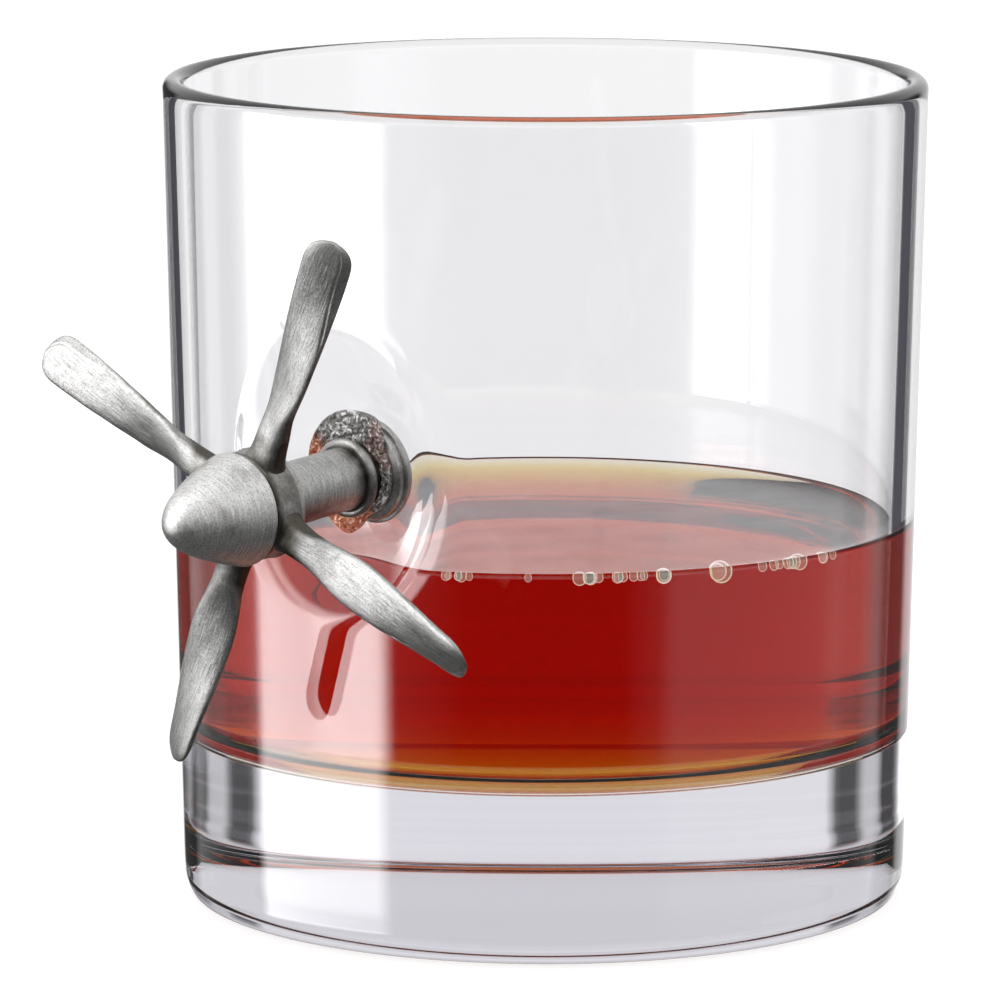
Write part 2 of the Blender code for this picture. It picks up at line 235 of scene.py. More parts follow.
# worn cast pewter: a tint mottled by fine specks and by soft dark patches that gather where the grime
# input is high, brushed lines along the map's u or v, and a height for the bump. The grime input also
# carries painted shade, which the blades' mask puts on their back faces. Tone scales the tint; set for
# each part, it is partly that part's own tone and partly painted light and shade, as lighter and darker
# copies of one pewter
def makePewterGroup():
    v = pewterValues
    tree = bpy.data.node_groups.new("wornPewter", "ShaderNodeTree")
    inputs = {"Grime And Shade": 0.3, "Line Stretch U": 1.0, "Line Stretch V": 1.0, "Line Strength": 0.5, "Tone And Painted Light": 1.0}
    for name, value in inputs.items():
        groupSocket(tree, name, "INPUT", "NodeSocketFloat", value)
    groupSocket(tree, "Color", "OUTPUT", "NodeSocketColor")
    groupSocket(tree, "Roughness", "OUTPUT", "NodeSocketFloat")
    groupSocket(tree, "Height", "OUTPUT", "NodeSocketFloat")
    nodes, links = tree.nodes, tree.links
    entry, leave = nodes.new("NodeGroupInput").outputs, nodes.new("NodeGroupOutput").inputs
    place = nodes.new("ShaderNodeTexCoord").outputs["Object"]
    uvNode = nodes.new("ShaderNodeUVMap")
    uvNode.uv_map = "UVMap"
    stretch = nodes.new("ShaderNodeCombineXYZ")
    links.new(entry["Line Stretch U"], stretch.inputs["X"])
    links.new(entry["Line Stretch V"], stretch.inputs["Y"])
    scaled = nodes.new("ShaderNodeVectorMath")
    scaled.operation = "MULTIPLY"
    links.new(uvNode.outputs["UV"], scaled.inputs[0])
    links.new(stretch.outputs["Vector"], scaled.inputs[1])
    lines = noiseNode(nodes, links, scaled.outputs["Vector"], 1.0, 3.0, 0.6)
    specks = noiseNode(nodes, links, place, v["speckScale"], 2.0, 0.6)
    grain = noiseNode(nodes, links, place, v["grainScale"], 3.0, 0.65)
    patches = noiseNode(nodes, links, place, v["patchScale"], 4.0, 0.6)
    # specks, then lines over them, then the dark where the patches and the grime input add up to enough:
    # dirt, and painted shade where the mask carries it
    speckMask = rampNode(nodes, links, specks, [(0.36, 0.0), (0.52, 1.0)])
    colour = mixNode(nodes, links, speckMask, v["speck"], v["bright"])
    lineMask = rampNode(nodes, links, lines, [(0.30, 0.0), (0.62, 1.0)])
    amount = mathNode(
        nodes, links, "MULTIPLY", mathNode(nodes, links, "SUBTRACT", 1.0, lineMask), entry["Line Strength"],
    )
    lineTint = mixNode(nodes, links, amount, (1.0, 1.0, 1.0), v["scratch"])
    colour = mixNode(nodes, links, 1.0, colour, lineTint, blend="MULTIPLY")
    dirtAndShade = mathNode(nodes, links, "ADD", patches, entry["Grime And Shade"])
    dirtAndShadeMask = rampNode(nodes, links, dirtAndShade, [(0.62, 0.0), (1.05, 1.0)])
    colour = mixNode(nodes, links, dirtAndShadeMask, colour, v["dark"])
    tonedWithPaintedLight = nodes.new("ShaderNodeVectorMath")
    tonedWithPaintedLight.operation = "SCALE"
    links.new(colour, tonedWithPaintedLight.inputs[0])
    links.new(entry["Tone And Painted Light"], tonedWithPaintedLight.inputs["Scale"])
    links.new(tonedWithPaintedLight.outputs["Vector"], leave["Color"])
    rough = rampNode(nodes, links, grain, [(0.3, v["roughest"]), (0.7, v["smoothest"])])
    links.new(rough, leave["Roughness"])
    links.new(mathNode(nodes, links, "MULTIPLY_ADD", lines, entry["Line Strength"], grain), leave["Height"])
    return tree


pewterGroup = makePewterGroup()


# a pewter finish. The grime, which may also carry painted shade, is one number or the name of a mask on
# the mesh, and the stretch is how many line cells fit along u and along v
def makePewter(name, grimeAndShade, stretch, lineStrength, bump=0.25, toneAndPaintedLight=1.0):
    material, nodes, links, shader = newMaterial(name)
    group = nodes.new("ShaderNodeGroup")
    group.node_tree = pewterGroup
    group.inputs["Line Stretch U"].default_value = stretch[0]
    group.inputs["Line Stretch V"].default_value = stretch[1]
    group.inputs["Line Strength"].default_value = lineStrength
    # the tone, set for each part, scales the tint: partly the part's own tone, partly painted light and
    # shade
    group.inputs["Tone And Painted Light"].default_value = toneAndPaintedLight
    if isinstance(grimeAndShade, str):
        mask = nodes.new("ShaderNodeAttribute")
        mask.attribute_name = grimeAndShade
        links.new(mask.outputs["Fac"], group.inputs["Grime And Shade"])
    else:
        group.inputs["Grime And Shade"].default_value = grimeAndShade
    bumpNode = nodes.new("ShaderNodeBump")
    bumpNode.inputs["Strength"].default_value = bump
    bumpNode.inputs["Distance"].default_value = 0.05 * mm
    links.new(group.outputs["Height"], bumpNode.inputs["Height"])
    links.new(group.outputs["Color"], shader.inputs["Base Color"])
    links.new(group.outputs["Roughness"], shader.inputs["Roughness"])
    links.new(bumpNode.outputs["Normal"], shader.inputs["Normal"])
    shader.inputs["Metallic"].default_value = 1.0
    return material


# a per-point mask of grime and of painted shade, which the pewter reads
def paintGrimeAndShade(piece, values):  # a per-point mask that the pewter reads
    layer = piece.data.attributes.new("grimeAndShade", "FLOAT", "POINT")
    layer.data.foreach_set("value", np.asarray(values, np.float32))


tumblerValues = {
    "height": glassTop,
    "topRadius": 41.06 * mm,
    "footRadius": 39.1 * mm,
    "wall": 2.3 * mm,
    # the heel's bend, from the foot to the wall: up to which slope in degrees, and how wide it turns
    "heel": [(-72, 6.0 * mm), (-28, 0.9 * mm), (0, 5.0 * mm)],
    "floor": 18.0 * mm,
    "floorFillet": 1.6 * mm,
    "dentInner": 4.0 * mm,
    "dentOuter": 14.2 * mm,
    "dentDepth": 2.9 * mm,
    "bulgeInner": 4.2 * mm,
    "bulgeOuter": 14.6 * mm,
    "bulgeDepth": 5.0 * mm,
    "dentShift": 2.8 * mm,  # the dent's middle lies this far to the left of the shaft
    "stretch": 0.88,  # and it is a little taller than it is wide
    "tint": (0.975, 0.975, 0.985),
    "absorb": (0.83, 0.82, 0.865),
    "density": 20.0,
}


def wallRadius(height):
    v = tumblerValues
    return v["footRadius"] + (v["topRadius"] - v["footRadius"]) * height / v["height"]


# points near the mount's axis slide along it onto a plane behind the pad's face: all the way inside one
# distance from the axis, not at all outside another, softly between
def dentedWall(points, inner, outer, depth):
    offset = points - mountPoint
    along = offset @ axisDir
    v = tumblerValues
    aside = np.hypot(offset @ levelDir + v["dentShift"], v["stretch"] * (offset @ risingDir))
    share = np.clip((aside - inner) / (outer - inner), 0, 1)
    weight = 1 - share**2 * (3 - 2 * share)
    weight = np.where(along < -20 * mm, 0.0, weight)
    return points + (weight * (-depth - along))[..., None] * axisDir


def wallAngles():  # columns round the glass, three times closer together beside the mount
    middle = math.atan2(mountPoint[1], mountPoint[0])
    near = np.radians(np.linspace(-26, 26, 105))
    far = np.radians(np.linspace(26, 334, 200))[1:-1]
    return middle + np.concatenate([near, far])


def sweptRound(radius, height):  # a profile carried round the glass's own upright axis
    angle = wallAngles()
    x = radius[:, None] * np.cos(angle)
    y = radius[:, None] * np.sin(angle)
    return np.stack([x, y, np.broadcast_to(height[:, None], x.shape)], -1)


def arcPoints(centre, radius, start, end, steps):
    angle = np.radians(np.linspace(start, end, steps + 1))
    return np.stack([centre[0] + radius * np.cos(angle), centre[1] + radius * np.sin(angle)], -1)


def heelCurve():  # from the flat foot up to the wall: each step runs square to the slope it has there
    slope = np.linspace(-90, 0, 46)
    middle = (slope[1:] + slope[:-1]) / 2
    limits, turns = zip(*tumblerValues["heel"])
    bend = np.select([middle < limit for limit in limits], turns)
    step = bend * np.radians(np.diff(slope))
    middle = np.radians(middle)
    path = np.cumsum(np.stack([-np.sin(middle) * step, np.cos(middle) * step], -1), axis=0)
    path = np.vstack([[0, 0], path])
    path[:, 0] += tumblerValues["footRadius"] - path[-1, 0]
    return path


def wallRows(low, high):  # heights up the wall, three times closer together beside the mount
    near = np.arange(mountPoint[2] - 17 * mm, mountPoint[2] + 17 * mm, 0.5 * mm)
    below = np.arange(low, near[0], 1.6 * mm)
    above = np.arange(near[-1] + 1 * mm, high, 1.6 * mm)
    rows = np.concatenate([below, near, above])
    return rows[(rows >= low) & (rows < high - 0.3 * mm)]


# clear glass with a faint grey tint, hardly wavy, and with a few smears that dull its shine
def makeGlassMaterial():
    material, nodes, links, shader = newMaterial("clearGlass")
    place = nodes.new("ShaderNodeTexCoord").outputs["Object"]
    shader.inputs["Transmission Weight"].default_value = 1.0
    shader.inputs["IOR"].default_value = 1.5
    streaks = noiseNode(nodes, links, place, 45.0, 4.0, 0.6)
    tint = tumblerValues["tint"]
    colour = rampNode(nodes, links, streaks, [(0.3, tint), (0.75, tuple(min(1, c + 0.012) for c in tint))])
    waves = noiseNode(nodes, links, place, 60.0, 1.0, 0.4)
    bump = nodes.new("ShaderNodeBump")
    bump.inputs["Strength"].default_value = 0.05
    bump.inputs["Distance"].default_value = 0.1 * mm
    links.new(waves, bump.inputs["Height"])
    links.new(colour, shader.inputs["Base Color"])
    links.new(bump.outputs["Normal"], shader.inputs["Normal"])
    shader.inputs["Roughness"].default_value = 0.0
    absorb = nodes.new("ShaderNodeVolumeAbsorption")
    absorb.inputs["Color"].default_value = (*tumblerValues["absorb"], 1.0)
    absorb.inputs["Density"].default_value = tumblerValues["density"]
    links.new(absorb.outputs["Volume"], nodes["Material Output"].inputs["Volume"])
    return material


def makeTumbler():
    v = tumblerValues
    lip = v["wall"] / 2
    heel = heelCurve()
    base = np.stack([np.linspace(2 * mm, heel[0, 0] - 1.5 * mm, 14), np.zeros(14)], -1)
    outerRows = wallRows(heel[-1, 1] + 1 * mm, v["height"] - lip)
    outer = np.stack([wallRadius(outerRows), outerRows], -1)
    rim = arcPoints((wallRadius(v["height"]) - lip, v["height"] - lip), lip, 0, 180, 20)
    filletTop = v["floor"] + v["floorFillet"]
    innerRows = wallRows(filletTop, v["height"] - lip)[::-1]
    inner = np.stack([wallRadius(innerRows) - v["wall"], innerRows], -1)
    floorCentre = wallRadius(v["floor"]) - v["wall"] - v["floorFillet"]
    fillet = arcPoints((floorCentre, filletTop), v["floorFillet"], 0, -90, 18)
    floor = np.stack([np.linspace(floorCentre / mm - 1.5, 1, 14) * mm, np.full(14, v["floor"])], -1)
    outside = np.vstack([base, heel, outer])
    inside = np.vstack([inner, fillet, floor])
    profile = np.vstack([outside, rim, inside])
    grid = sweptRound(profile[:, 0], profile[:, 1])
    last, first = len(outside), len(outside) + len(rim)
    grid[:last] = dentedWall(grid[:last], v["dentInner"], v["dentOuter"], v["dentDepth"])
    grid[first:] = dentedWall(grid[first:], v["bulgeInner"], v["bulgeOuter"], v["bulgeDepth"])
    piece = meshFromGrid("tumblerGlass", grid, makeGlassMaterial(), "glass")
    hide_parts("tumbler")
    print("tumbler made")


drinkValues = {
    "level": drinkTop,
    "climb": 0.9 * mm,  # how far the meniscus climbs the wall
    "reach": 1.4 * mm,  # how far it dies away from the wall
    "swell": 0.012 * mm,
    "overlap": 0.12 * mm,  # into the glass, so that no air shows between them
    "absorb": (0.955, 0.735, 0.0),
    "density": 320.0,
}


# red-amber liquor: clear at its surface, it takes the blue and the green out of light that passes
# through, so that it is amber where thin and deep red where thick
def makeDrinkMaterial():
    material, nodes, links, shader = newMaterial("redDrink")
    place = nodes.new("ShaderNodeTexCoord").outputs["Object"]
    shader.inputs["Transmission Weight"].default_value = 1.0
    shader.inputs["IOR"].default_value = 1.36
    swirl = noiseNode(nodes, links, place, 30.0, 3.0, 0.5)
    colour = rampNode(nodes, links, swirl, [(0.3, (1.0, 0.985, 0.97)), (0.7, (1.0, 1.0, 1.0))])
    links.new(colour, shader.inputs["Base Color"])
    shader.inputs["Roughness"].default_value = 0.0
    ripples = noiseNode(nodes, links, place, 90.0, 1.0, 0.4)
    bump = nodes.new("ShaderNodeBump")
    bump.inputs["Strength"].default_value = 0.04
    bump.inputs["Distance"].default_value = 0.1 * mm
    links.new(ripples, bump.inputs["Height"])
    links.new(bump.outputs["Normal"], shader.inputs["Normal"])
    absorb = nodes.new("ShaderNodeVolumeAbsorption")
    absorb.inputs["Color"].default_value = (*drinkValues["absorb"], 1.0)
    absorb.inputs["Density"].default_value = drinkValues["density"]
    links.new(absorb.outputs["Volume"], nodes["Material Output"].inputs["Volume"])
    return material


# the cup's inner wall at these heights, moved out by grow. A few steps of correction undo the little
# rise that the slide along the tilted shaft gives to each point
def cupWall(heights, grow):
    v = tumblerValues
    asked = np.array(heights)
    wanted = np.broadcast_to(asked[:, None], (len(asked), len(wallAngles())))
    rows = wanted.copy()
    angle = wallAngles()
    for _ in range(4):
        radius = wallRadius(rows) - v["wall"] + grow
        grid = np.stack([radius * np.cos(angle), radius * np.sin(angle), rows], -1)
        grid = dentedWall(grid, v["bulgeInner"], v["bulgeOuter"], v["bulgeDepth"] - grow)
        rows = rows + wanted - grid[..., 2]
    grid[..., 2] = wanted
    return grid


# rings out along the floor, up the fillet and the wall to the contact line, then in over the surface,
# which rises to the wall as level plus climb times exp of minus distance over reach
def makeDrink():
    v, d = tumblerValues, drinkValues
    grow = d["overlap"]
    filletTop = v["floor"] + v["floorFillet"]
    floorCentre = wallRadius(v["floor"]) - v["wall"] - v["floorFillet"]
    flat = np.stack([np.linspace(1, floorCentre / mm - 1, 12) * mm, np.full(12, v["floor"] - grow)], -1)
    fillet = arcPoints((floorCentre, filletTop), v["floorFillet"] + grow, -90, -5, 24)
    low = sweptRound(np.vstack([flat, fillet])[:, 0], np.vstack([flat, fillet])[:, 1])
    top = d["level"] + d["climb"]
    side = cupWall(np.linspace(filletTop, top, 34), grow)
    contact = side[-1]
    wide = np.linalg.norm(contact[:, :2], axis=1)
    away = np.concatenate([np.geomspace(0.08, 8, 26), np.linspace(9, 36, 16)]) * mm
    share = 1 - np.minimum(away[:, None] / wide, 0.985)
    rise = d["climb"] * np.exp(-(away[:, None] - grow) / d["reach"])
    surface = np.stack([
        contact[:, 0] * share, contact[:, 1] * share,
        np.broadcast_to(d["level"] + rise, share.shape),
    ], -1)
    level, deep = surface[..., 0] / mm, surface[..., 1] / mm
    calm = smooth(away[:, None] / (3 * mm))
    swell = ripple(level * 0.35, deep * 0.35, 31, 9) + 0.5 * ripple(level * 0.9, deep * 0.9, 32, 9)
    surface[..., 2] += d["swell"] * calm * swell
    surface[..., 2] = np.minimum(surface[..., 2], top)
    piece = meshFromGrid("drinkBody", np.concatenate([low, side, surface]), makeDrinkMaterial(), "glass")
    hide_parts("drink")
    print("drink made")


bubbleValues = {
    "clusters": [  # degrees round from the front to the right, how many, spread in degrees, mm across
        (-13.5, 6, 4.2, 0.9),
        (-2.5, 1, 0.0, 0.7),
        (7.0, 5, 5.0, 1.2),
        (13.5, 6, 5.4, 1.0),
        (20.0, 3, 3.4, 1.4),
        (28.5, 2, 3.4, 2.0),
        (38.0, 3, 3.4, 1.1),
        (44.0, 4, 5.0, 1.5),
        (50.5, 3, 3.4, 1.1),
    ],
    "film": 0.965,  # inner size of each bubble's skin
    "seed": 11,
}


def bubbleGrid(centre, radius, columns=20, rows=12):  # rings of a sphere from its foot to its head
    tilt = np.linspace(-0.47, 0.47, rows) * math.pi
    turn = np.arange(columns) * 2 * math.pi / columns
    x = radius * np.cos(tilt)[:, None] * np.cos(turn)
    y = radius * np.cos(tilt)[:, None] * np.sin(turn)
    z = np.broadcast_to(radius * np.sin(tilt)[:, None], x.shape)
    return np.stack([x, y, z], -1) + centre


# a film that is clear where it faces the eye and bright round its outline: the ring glows, a painted
# reflection of the studio's light on the bubble
def makeBubbleMaterial():
    material, nodes, links, shader = newMaterial("bubbleFilm")
    place = nodes.new("ShaderNodeTexCoord").outputs["Object"]
    film = noiseNode(nodes, links, place, 900.0, 2.0, 0.5)
    colour = rampNode(nodes, links, film, [(0.35, (1.0, 0.90, 0.84)), (0.65, (1.0, 1.0, 1.0))])
    facing = nodes.new("ShaderNodeLayerWeight")
    facing.inputs["Blend"].default_value = 0.5
    outline = facing.outputs["Facing"]
    paintedGlowRing = rampNode(nodes, links, outline, [(0.42, 0.04), (0.64, 0.22), (0.80, 0.72), (0.93, 0.30)])
    links.new(colour, shader.inputs["Base Color"])
    links.new(colour, shader.inputs["Emission Color"])
    links.new(paintedGlowRing, shader.inputs["Alpha"])
    # painted light: the film glows in its own pinkish white, brightest round the outline
    shader.inputs["Emission Strength"].default_value = 0.55
    shader.inputs["Roughness"].default_value = 0.05
    return material


def makeBubbles():
    material = makeBubbleMaterial()
    random = np.random.default_rng(bubbleValues["seed"])
    number = 0
    for middle, count, spread, size in bubbleValues["clusters"]:
        for _ in range(count):
            radius = size / 2 * mm * random.uniform(0.75, 1.2)
            angle = math.radians(middle + random.uniform(-spread, spread) / 2 - 90)
            wall = wallRadius(drinkValues["level"]) - tumblerValues["wall"]
            away = wall - radius * 1.02
            centre = np.array([away * math.cos(angle), away * math.sin(angle), drinkValues["level"]])
            centre[2] += 0.5 * drinkValues["climb"] - 0.25 * radius
            number += 1
            outer = bubbleGrid(centre, radius)
            inner = bubbleGrid(centre, radius * bubbleValues["film"])[:, ::-1]
            joined = joinShells([outer, inner], f"bubble{number:02d}", material)
    print(number, "bubbles made")


# closed shells in one mesh: each is a grid of rings with a fan at each end
def joinShells(shells, name, material):
    points, faces, start = [], [], 0
    for grid in shells:
        rows, columns = grid.shape[:2]
        across = np.arange(columns)
        follow = (across + 1) % columns
        first = np.arange(rows - 1)[:, None] * columns + start
        corners = [first + across, first + follow, first + columns + follow, first + columns + across]
        quads = np.stack(corners, -1)
        foot, head = start + rows * columns, start + rows * columns + 1
        base = start + (rows - 1) * columns
        points += [grid.reshape(-1, 3), grid[0].mean(0)[None], grid[-1].mean(0)[None]]
        faces += quads.reshape(-1, 4).tolist()
        faces += np.stack([np.full(columns, foot), start + follow, start + across], -1).tolist()
        faces += np.stack([np.full(columns, head), base + across, base + follow], -1).tolist()
        start += rows * columns + 2
    mesh = bpy.data.meshes.new(name)
    mesh.from_pydata(np.vstack(points).tolist(), [], faces)
    mesh.shade_smooth()
    mesh.materials.append(material)
    piece = bpy.data.objects.new(name, mesh)
    bpy.context.scene.collection.objects.link(piece)
    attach(piece, "glass")
    return piece


anchorValues = {
    "padRadius": 6.9 * mm,
    "padClear": 4.4 * mm,  # its smaller radius towards the right and the bottom
    "padBore": 3.4 * mm,
    "padBack": -0.8 * mm,
    "crinkle": 0.16 * mm,
    "plug": [
        (0.3, -0.9), (4.3, -0.9), (5.0, -1.15), (5.1, -1.6), (4.95, -1.7), (4.95, -1.8), (5.45, -1.85),
        (5.5, -3.4), (0.3, -3.4),
    ],
    "collar": [(3.3, 1.2), (4.15, 1.25), (4.2, 1.75), (3.9, 2.1), (3.3, 2.1)],
    "shaftRadius": 3.3 * mm,
    "shaftEnds": (-1.05 * mm, 13.6 * mm),
}


# resin set in sharp wrinkles over the metal, black and white at random turns: painted shade in the
# creases and painted highlights on the ridges, keyed to the same noise as the bump. Where a mask on the
# mesh is high it turns warm: a painted reflection of the red drink in the wrinkles
def makePadMaterial():
    material, nodes, links, shader = newMaterial("wrinkledResin")
    place = nodes.new("ShaderNodeTexCoord").outputs["Object"]
    creases = nodes.new("ShaderNodeTexNoise")
    creases.inputs["Scale"].default_value = 820.0
    creases.inputs["Detail"].default_value = 4.0
    creases.inputs["Roughness"].default_value = 0.62
    creases.inputs["Distortion"].default_value = 2.2
    links.new(place, creases.inputs["Vector"])
    crease = creases.outputs["Fac"]
    creaseShadeAndHighlight = rampNode(nodes, links, crease, [
        (0.36, (0.03, 0.027, 0.025)), (0.45, (0.30, 0.29, 0.28)), (0.50, (0.05, 0.045, 0.04)),
        (0.56, (0.55, 0.54, 0.53)), (0.66, (0.95, 0.94, 0.93)),
    ])
    paintedDrinkReflection = rampNode(nodes, links, crease, [
        (0.36, (0.09, 0.02, 0.01)), (0.46, (0.55, 0.14, 0.06)), (0.53, (0.25, 0.05, 0.02)),
        (0.58, (0.80, 0.36, 0.20)), (0.66, (0.95, 0.85, 0.75)),
    ])
    mask = nodes.new("ShaderNodeAttribute")
    mask.attribute_name = "paintedDrinkReflection"
    links.new(mixNode(nodes, links, mask.outputs["Fac"], creaseShadeAndHighlight, paintedDrinkReflection), shader.inputs["Base Color"])
    shader.inputs["Metallic"].default_value = 0.35
    shader.inputs["Roughness"].default_value = 0.28
    bump = nodes.new("ShaderNodeBump")
    bump.inputs["Strength"].default_value = 0.9
    bump.inputs["Distance"].default_value = 0.3 * mm
    links.new(crease, bump.inputs["Height"])
    links.new(bump.outputs["Normal"], shader.inputs["Normal"])
    return material


def makeAnchor():
    v = anchorValues
    # the pad: a ring whose face is crumpled by ripples, narrow on the right and at the bottom. Its
    # outline is a mix of two radii round it, and its points slide in or out in proportion
    face = np.linspace(v["padBore"], v["padRadius"] - 0.1 * mm, 60)
    radius = np.concatenate([[v["padBore"]], face, [v["padRadius"], v["padRadius"] - 0.2 * mm]])
    out = np.concatenate([[v["padBack"]], np.zeros(60), [-0.15 * mm, v["padBack"]]])
    grid = turnedGrid(radius, out, 260)
    offset = (grid - mountPoint) / mm
    aside, up = offset @ levelDir, offset @ risingDir
    turn = np.degrees(np.arctan2(up, aside)) % 360
    wide = smooth((turn - 30) / 45) * (1 - smooth((turn - 245) / 45))
    away = np.hypot(aside, up)
    bore, edge = v["padBore"] / mm, v["padRadius"] / mm
    lobes = 0.12 * ripple(3 * np.cos(np.radians(turn)), 3 * np.sin(np.radians(turn)), 12)
    outline = v["padClear"] / mm + (edge - v["padClear"] / mm) * wide + lobes
    shrink = (bore + (away - bore) * (outline - bore) / (edge - bore)) / away
    grid = grid + ((shrink - 1) * aside * mm)[..., None] * levelDir
    grid = grid + ((shrink - 1) * up * mm)[..., None] * risingDir
    bumpy = ripple(aside * 3.1, up * 3.1, 4, 9) + 0.6 * ripple(aside * 6.3, up * 6.3, 9, 9)
    rim = smooth((edge - 0.15 - away) / 0.5)
    front = (out == 0)[:, None]
    grid = grid + (np.where(front, bumpy * rim, 0) * v["crinkle"] * 0.5)[..., None] * axisDir
    pad = meshFromGrid("wrinkledPad", grid, makePadMaterial(), "glass", closeLoop=True)
    # the mask for the drink's painted reflection on the pad: on its left, along its lower side, and faintly
    # on its right
    left = smooth((turn - 135) / 25) * (1 - smooth((turn - 200) / 20)) * smooth((away - 4.6) / 1.2)
    lower = smooth((turn - 205) / 15) * (1 - smooth((turn - 290) / 15))
    right = smooth((turn - 5) / 15) * (1 - smooth((turn - 60) / 15)) * 0.25
    layer = pad.data.attributes.new("paintedDrinkReflection", "FLOAT", "POINT")
    layer.data.foreach_set("value", np.maximum(np.maximum(left, lower), right).astype(np.float32).ravel())
    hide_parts("bonding_pad")
    # the stepped plug that stands in the glass's dent
    profile = resampled(roundedProfile(np.array(v["plug"][::-1]) * mm, 0.12 * mm), 0.3 * mm)
    plugPewter = makePewter("plugPewter", 0.15, (60, 30), 0.6)
    plug = meshFromGrid("steppedPlug", turnedGrid(profile[:, 0], profile[:, 1], 160), plugPewter, "glass")
    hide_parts("anchor_plug")
    # the collar round the shaft's foot
    profile = roundedProfile(np.array(v["collar"]) * mm, 0.3 * mm, 8)
    # tone 0.75: a darker copy of the pewter, painted shade on the collar
    collarPewter = makePewter("collarPewter", 0.25, (300, 6), 0.4, 0.4, 0.75)
    grid = turnedGrid(profile[:, 0], profile[:, 1], 160, 0.004, 5)
    collar = meshFromGrid("brightCollar", grid, collarPewter, "glass", closeLoop=True)
    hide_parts("shaft_collar")
    # the shaft
    low, high = v["shaftEnds"]
    r = v["shaftRadius"]
    corners = [(0.2 * mm, low), (r, low), (r, high), (0.2 * mm, high)]
    profile = resampled(roundedProfile(corners, 0.15 * mm), 0.25 * mm)
    shaftPewter = makePewter("shaftPewter", "grimeAndShade", (9, 90), 1.0, 0.35, 0.86)
    grid = turnedGrid(profile[:, 0], profile[:, 1], 160, 0.004, 8)
    shaft = meshFromGrid("turnedShaft", grid, shaftPewter, "glass")
    points = meshPoints(shaft)
    out = (points - mountPoint) @ axisDir / mm
    nearFoot = 1 - smooth((out - 1.5) / 4)
    nearHub = smooth((out - 11.5) / 2)
    # the mask is higher towards the foot, by the collar, and towards the hub: the shaft is darker there
    paintGrimeAndShade(shaft, 0.05 + 0.3 * nearFoot + 0.15 * nearHub)
    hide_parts("shaft_sleeve")
    print("anchor and shaft made")


def meshPoints(piece):
    flat = np.empty(len(piece.data.vertices) * 3, np.float32)
    piece.data.vertices.foreach_get("co", flat)
    return flat.reshape(-1, 3).astype(float)


propellerValues = {
    "hubRadius": 5.8 * mm,
    "hubBack": -2.0 * mm,
    "hubFront": 2.0 * mm,
    "spinnerRadius": 5.9 * mm,
    "spinnerLength": 9.72 * mm,
    "bluntness": 0.46,
    "blades": 4,
    "firstBlade": 64.6,  # degrees round the axis from the level direction
    "foot": 5.0 * mm,
    "tip": 31.4 * mm,
    "rounding": 27.8 * mm,
    "neckHalf": 1.7 * mm,
    "paddleHalf": 2.6 * mm,
    "twistBack": 16.6,  # degrees, just past the neck
    "twistForward": 43.0,  # degrees, from there to the tip
    "thickness": 0.62 * mm,  # half, at the tip's end of the paddle
    "footThickness": 0.75 * mm,  # what the neck adds to it
    "flare": 0.55 * mm,  # how much wider the blade's foot is
    "unevenness": 0.035 * mm,
    "scoreDepth": 0.12 * mm,
}


# half width, pitch and half thickness of the blade at a distance from the axis. The width goes from
# neck to paddle by a soft step and closes at the tip as the root of one minus a power. The pitch runs
# back a little past the neck, then steadily forward. A flare thickens the foot
def bladeSection(radius):
    v = propellerValues
    width = v["neckHalf"] + (v["paddleHalf"] - v["neckHalf"]) * smooth((radius - 7.5 * mm) / (9.5 * mm))
    tip = np.clip((radius - v["rounding"]) / (v["tip"] - v["rounding"]), 0, 1)
    flare = np.exp(-(radius - 5.2 * mm) / (1.1 * mm))
    width = (width + v["flare"] * flare) * np.sqrt(np.maximum(1 - tip**3.6, 0))
    back = math.radians(v["twistBack"]) * smooth((radius - 7 * mm) / (5 * mm))
    forward = math.radians(v["twistForward"]) * smooth((radius - 9 * mm) / (25 * mm))
    slender = smooth((radius - 6.1 * mm) / (9 * mm))
    thick = v["thickness"] + v["footThickness"] * (1 - slender) + 0.35 * mm * flare
    return width, forward - back, thick * (1 - 0.55 * tip**2)


